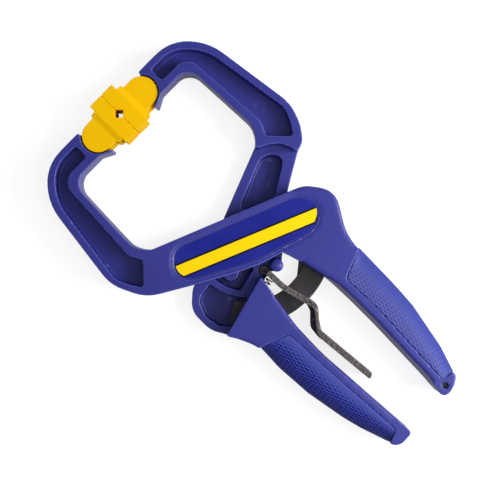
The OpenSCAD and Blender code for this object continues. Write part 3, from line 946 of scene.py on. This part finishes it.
@dataclass(frozen=True)
class Lamp:
    """A square lamp that faces the clamp.

    Attributes:
        name: The lamp's name.
        place: Where it stands, in metres.
        side: Its side, in metres.
        power: Its power, in watts.
    """

    name: str
    place: tuple[float, float, float]
    side: float
    power: float

    def build(self) -> None:
        """Adds the lamp to the scene."""
        data = bpy.data.lights.new(self.name, "AREA")
        data.energy, data.size = self.power, self.side
        piece = bpy.data.objects.new(self.name, data)
        bpy.context.scene.collection.objects.link(piece)
        piece.location = self.place
        piece.rotation_mode = "QUATERNION"
        piece.rotation_quaternion = (-Vector(self.place)).to_track_quat("-Z", "Y")


@dataclass(frozen=True)
class Studio:
    """The floor, the lamps, the world and the camera.

    Attributes:
        look_at: Where the camera looks, in millimetres.
        height: The camera's height, in millimetres.
        roll: Its turn round its own axis, in degrees.
        lens: Its focal length, in millimetres.
        film: Width of its film, in millimetres.
        reach: Nearest and furthest distance that it sees, in metres.
        sky: Strength of the world's plain light.
        wall_top: Height at which the seen walls start to darken, from 0 to 1 overhead.
        ceiling_edge: Height at which the seen ceiling starts, in the same way.
        ceiling: Brightness of the seen ceiling.
        mirrored: Share of what is seen that mirrors see too.
        floor_side: The floor's side, in metres.
        floor_drop: How far the floor lies under the clamp, in millimetres.
        floor_grey: The floor's colour.
        floor_rough: Its roughness.
        floor_lift: How much brighter it is seen than the lamps make it.
        lamps: The lamps.
    """

    look_at: tuple[float, float] = (1.58, -2.2)
    height: float = 650.0
    roll: float = 44.66
    lens: float = 102.4
    film: float = 36.0
    reach: tuple[float, float] = (0.05, 10.0)
    sky: float = 0.32
    wall_top: float = 0.15
    ceiling_edge: float = 0.6
    ceiling: float = 0.25
    mirrored: float = 0.35
    floor_side: float = 3.0
    floor_drop: float = 0.05
    floor_grey: float = 0.45
    floor_rough: float = 0.9
    floor_lift: float = 0.8
    lamps: tuple[Lamp, ...] = (Lamp("key", (0.28, 0.28, 0.3), side=0.3, power=2.85),
                               Lamp("fill", (0.36, 0.14, 1.0), side=0.35, power=1.2))

    def camera(self) -> None:
        """Puts the camera straight above the clamp."""
        data = bpy.data.cameras.new("camera")
        data.lens, data.sensor_width = self.lens, self.film
        data.clip_start, data.clip_end = self.reach
        piece = bpy.data.objects.new("camera", data)
        bpy.context.scene.collection.objects.link(piece)
        place = Vector((*self.look_at, self.height)) * MM
        piece.matrix_world = (Matrix.Translation(place)
                              @ Matrix.Rotation(math.radians(self.roll), 4, "Z"))
        bpy.context.scene.camera = piece

    def world(self) -> None:
        """Makes the world a soft grey light, with white walls and a dim ceiling to be seen."""
        world = bpy.data.worlds.new("studio")
        bpy.context.scene.world = world
        world.use_nodes = True
        nodes, links = world.node_tree.nodes, world.node_tree.links
        place, split = nodes.new("ShaderNodeTexCoord"), nodes.new("ShaderNodeSeparateXYZ")
        wall, level = nodes.new("ShaderNodeMapRange"), nodes.new("ShaderNodeMix")
        links.new(place.outputs["Generated"], split.inputs["Vector"])
        links.new(split.outputs["Z"], wall.inputs["Value"])
        Effects.fill(wall, {"From Min": self.wall_top, "From Max": self.ceiling_edge,
                            "To Min": 1.0, "To Max": self.ceiling})
        Effects.fill(level, {"A": self.sky})
        Effects.fill(nodes["Background"], {"Color": (1, 1, 1, 1)})
        links.new(wall.outputs["Result"], level.inputs["B"])
        links.new(self.seen_straight(world.node_tree), level.inputs["Factor"])
        links.new(level.outputs["Result"], nodes["Background"].inputs["Strength"])

    def seen_straight(self, tree: bpy.types.NodeTree) -> Socket:
        """Gives 1 for what the camera or glass sees, less for a mirror and 0 for plain light.

        Args:
            tree: The tree to add the nodes to.

        Returns:
            The socket with that value.
        """
        rays = tree.nodes.new("ShaderNodeLightPath").outputs
        mirror = Effects.calc(tree, "MULTIPLY", rays["Is Glossy Ray"], self.mirrored)
        either = Effects.calc(tree, "MAXIMUM", rays["Is Camera Ray"], mirror)
        return Effects.calc(tree, "MAXIMUM", either, rays["Is Transmission Ray"])

    def floor(self) -> None:
        """Lays the pale floor, which keeps the clamp's shadow."""
        Bench.clear()
        bpy.ops.mesh.primitive_plane_add(size=self.floor_side,
                                         location=(0, 0, -self.floor_drop * MM))
        piece = bpy.context.object
        piece.name = "studio_floor"
        Bench.place(piece)
        material = bpy.data.materials.new("studio_floor")
        material.use_nodes = True
        tree = material.node_tree
        shader = tree.nodes["Principled BSDF"]
        Effects.fill(shader, {"Base Color": (*[self.floor_grey] * 3, 1),
                              "Roughness": self.floor_rough, "Emission Color": (1, 1, 1, 1)})
        lift = Effects.calc(tree, "MULTIPLY", self.seen_straight(tree), self.floor_lift)
        tree.links.new(lift, shader.inputs["Emission Strength"])
        piece.data.materials.append(material)

    def build(self) -> None:
        """Builds the studio."""
        bpy.context.scene.view_settings.view_transform = "Standard"
        self.camera()
        self.world()
        self.floor()
        for lamp in self.lamps:
            lamp.build()


def main() -> None:
    """Builds the clamp and its studio."""
    logging.basicConfig(level=logging.INFO, format="%(name)s: %(message)s")
    Bench.clear()
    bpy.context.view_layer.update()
    Studio().build()
    Clamp().build()


if __name__ == "__main__":
    main()
